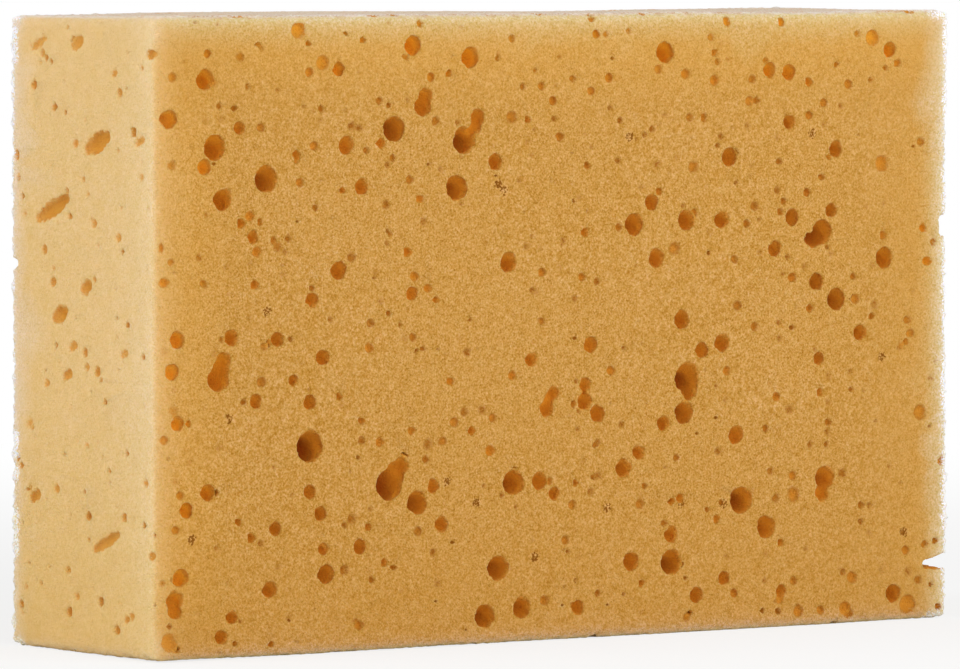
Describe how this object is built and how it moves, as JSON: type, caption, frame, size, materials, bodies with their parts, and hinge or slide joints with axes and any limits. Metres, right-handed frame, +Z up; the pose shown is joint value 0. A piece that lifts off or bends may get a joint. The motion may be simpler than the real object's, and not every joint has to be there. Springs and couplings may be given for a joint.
{
  "type": "cleaning sponge",
  "caption": "Rectangular block of coarse open-cell foam with softened edges, standing on its long narrow side, for wiping and washing by hand.",
  "frame": {"origin": "centre of the long narrow face that the sponge stands on", "axes": "+X along the length, -Y out of the front wiping face, +Z up"},
  "size_m": [0.155, 0.043, 0.1],
  "materials": {
    "foam": "open-cell polyurethane foam, yellow ochre, matte, with a fine grain of cells and deep orange-brown pores"
  },
  "bodies": {
    "root": {"foam_block": "foam"}
  },
  "joints": []
}
